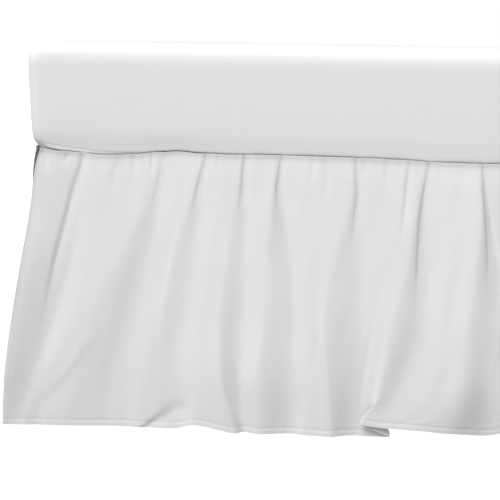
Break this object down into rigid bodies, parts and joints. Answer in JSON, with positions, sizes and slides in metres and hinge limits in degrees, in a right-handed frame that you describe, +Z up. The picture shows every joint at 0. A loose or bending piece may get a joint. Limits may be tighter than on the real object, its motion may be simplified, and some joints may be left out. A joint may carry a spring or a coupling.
{
  "type": "gathered bed skirt on a mattress and bed base",
  "caption": "Gathered drop ruffles sewn to a flat deck under a crib-size mattress, hanging in loose folds round a plain wooden base, with split corners.",
  "frame": {"origin": "centre of the footprint, on the floor under the legs", "axes": "+Z up; X runs along the long side and -Y faces the front panel; the front view shows the left corner at -X"},
  "size_m": [1.3822, 0.7528, 0.4618],
  "materials": {
    "percale": "matte white cotton percale, plain weave",
    "sheet_cover": "matte white cotton fitted sheet drawn over the mattress",
    "wood": "plain pine, satin"
  },
  "bodies": {
    "root": {"deck": "percale", "ruffle_front": "percale", "ruffle_back": "percale", "ruffle_left": "percale", "ruffle_right": "percale", "mattress": "sheet_cover", "platform_board": "wood", "rail_front": "wood", "rail_back": "wood", "rail_left": "wood", "rail_right": "wood", "leg_front_left": "wood", "leg_front_right": "wood", "leg_back_left": "wood", "leg_back_right": "wood"}
  },
  "joints": []
}
